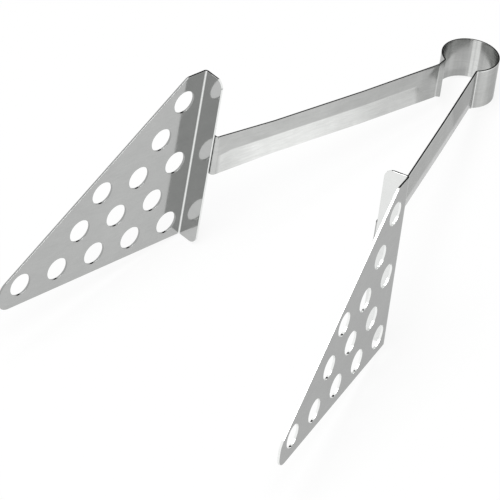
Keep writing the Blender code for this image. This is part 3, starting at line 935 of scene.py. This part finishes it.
def blade_painted_reflections(label):
    """Painted reflections on a blade, lighter or darker, by the lengths on its unrolled sheet."""
    far = BLADE_LENGTH * 2
    inside = island(BLADE_INNER_SHIFT, BLADE_SPAN)
    cut = island(BLADE_CUT_SHIFT, BLADE_SPAN)
    if label == "left":
        return [
            # Painted reflection on the cut edges: darker, and lighter on the flange.
            painted_reflection_band(-far, far, cut, MM, 0.75),
            painted_reflection_band(-far, FOLD_START - 2 * MM, cut, MM, 2.4),
            # Painted reflections on the inside of the flange, of the fold and of the far part of
            # the plate, with a painted highlight along the fold.
            painted_reflection_band(-far, FOLD_START - 0.3 * MM, inside, MM, 1.05),
            painted_reflection_band(FOLD_START - 0.3 * MM, FOLD_END + 0.3 * MM, inside, 0.3 * MM, 1.9),
            painted_reflection_band(FOLD_END + 30 * MM, far, inside, 60 * MM, 0.97),
        ]
    return [
        # Painted reflections on the cut edges, the inside of the flange and the outside of the
        # plate.
        painted_reflection_band(-far, far, cut, MM, 1.9),
        painted_reflection_band(-far, FOLD_START + 0.4 * MM, inside, 0.8 * MM, 1.7),
        painted_reflection_band(FOLD_END, far, BLADE_SPAN, MM, 0.86),
    ]


def seen_white(tree, light_kind, surface, output, share):
    """Mixes plain white into a surface where it is seen directly, mirrored or through something."""
    white = tree.nodes.new(light_kind)
    white.inputs["Color"].default_value = WHITE
    white.inputs["Strength"].default_value = 1.0
    path = tree.nodes.new("ShaderNodeLightPath")
    seen = combine(tree, "MAXIMUM", (path, "Is Camera Ray"), (path, "Is Glossy Ray"))
    seen = combine(tree, "MAXIMUM", (seen, 0), (path, "Is Transmission Ray"))
    factor = map_range(tree, seen, 0, 0.0, 1.0, 0.0, share)
    mix = tree.nodes.new("ShaderNodeMixShader")
    link(tree, factor, 0, mix, 0)
    link(tree, surface, 0, mix, 1)
    link(tree, white, 0, mix, 2)
    link(tree, mix, 0, tree.nodes[output], "Surface")


def make_world():
    world = bpy.data.worlds.new("studio")
    bpy.context.scene.world = world
    world.use_nodes = True
    light = world.node_tree.nodes["Background"]
    light.inputs["Color"].default_value = WHITE
    light.inputs["Strength"].default_value = WORLD_LIGHT
    seen_white(world.node_tree, "ShaderNodeBackground", light, "World Output", 1.0)


def new_plane(name, width, height):
    mesh = bpy.data.meshes.new(name)
    bm = bmesh.new()
    bmesh.ops.create_grid(bm, x_segments=1, y_segments=1, size=0.5)
    bmesh.ops.scale(bm, verts=bm.verts, vec=(width, height, 1))
    bm.to_mesh(mesh)
    bm.free()
    return new_object(name, mesh)


def aim(holder, place, target):
    """Places a lamp or a card so that it faces a point."""
    holder.location = place
    holder.rotation_mode = "QUATERNION"
    holder.rotation_quaternion = (Vector(target) - Vector(place)).to_track_quat("-Z", "Y")


def make_floor():
    floor = new_plane("floor", FLOOR_WIDTH, FLOOR_WIDTH)
    material, tree, shader = new_material("floor_white")
    tree.nodes.remove(shader)
    matte = tree.nodes.new("ShaderNodeBsdfDiffuse")
    matte.inputs["Color"].default_value = FLOOR_COLOUR
    seen_white(tree, "ShaderNodeEmission", matte, "Material Output", FLOOR_WHITE_SHARE)
    floor.data.materials.append(material)


def make_lamp():
    lamp = bpy.data.lights.new("softbox", "AREA")
    lamp.shape = "SQUARE"
    lamp.size = LAMP_WIDTH
    lamp.energy = LAMP_POWER
    aim(new_object("softbox", lamp), LAMP_PLACE, LAMP_TARGET)


def make_flag():
    """Dark card behind the set, which shows only in the steel's reflections."""
    card = new_plane("flag", FLAG_WIDTH, FLAG_HEIGHT)
    place = Vector(FLAG_DIRECTION).normalized() * FLAG_DISTANCE + FLAG_TARGET
    aim(card, place, FLAG_TARGET)
    material, _, shader = new_material("flag")
    shader.inputs["Base Color"].default_value = FLAG_COLOUR
    shader.inputs["Roughness"].default_value = 1.0
    card.data.materials.append(material)
    card.visible_camera = False
    card.visible_diffuse = False
    card.visible_shadow = False
    card.visible_transmission = False


def make_camera():
    """Camera at the photograph's viewing angle, worked out in the flat layout."""
    level = Vector((math.cos(CAMERA_TURN), math.sin(CAMERA_TURN), 0))
    ahead = Vector((
        -math.sin(CAMERA_TURN) * math.cos(CAMERA_TILT),
        math.cos(CAMERA_TURN) * math.cos(CAMERA_TILT),
        -math.sin(CAMERA_TILT),
    ))
    up = level.cross(ahead)
    right = level * math.cos(CAMERA_ROLL) + up * math.sin(CAMERA_ROLL)
    up = up * math.cos(CAMERA_ROLL) - level * math.sin(CAMERA_ROLL)
    place = CAMERA_AIM - ahead * CAMERA_DISTANCE
    place = place + right * CAMERA_SHIFT_RIGHT + up * CAMERA_SHIFT_UP
    turned = Matrix((right, up, -ahead)).transposed().to_4x4()
    camera = bpy.data.cameras.new("camera")
    camera.sensor_width = CAMERA_SENSOR
    camera.lens = CAMERA_LENS
    camera.clip_start, camera.clip_end = CAMERA_CLIP
    holder = new_object("camera", camera)
    holder.matrix_world = REST @ Matrix.Translation(place) @ turned
    bpy.context.scene.camera = holder


def make_strip(label, side):
    """The strip of one side in its steel, bending from the crown to the neck. Gives the steel."""
    strip, crease_start, crease_end = half_strip(label, side)
    painted_reflections = strip_painted_reflections(label, crease_start, crease_end)
    strip_steel = satin_steel(f"{label}_strip_satin", STRIP_LOOK, painted_reflections)
    strip.data.materials.append(strip_steel)
    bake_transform(strip)
    nodes = [f"{label}_arm"]
    if label == "left":
        nodes.append("loop_crown")
    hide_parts(*nodes)
    return strip_steel


def make_blade(label, side):
    plate = blade(label, side)
    blade_steel = satin_steel(f"{label}_blade_satin", BLADE_LOOK, blade_painted_reflections(label))
    plate.data.materials.append(blade_steel)
    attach(plate, f"{label}_jaw")
    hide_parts(f"{label}_blade")


def main():
    bpy.context.scene.view_settings.view_transform = "Standard"
    make_camera()
    make_world()
    make_floor()
    make_lamp()
    make_flag()
    for label, side in SIDES.items():
        strip_steel = make_strip(label, side)
        make_blade(label, side)
        for place in ("upper", "lower"):
            weld = frame["nodes"][f"{label}_weld_{place}"]
            weld.data.materials.clear()
            weld.data.materials.append(strip_steel)


main()
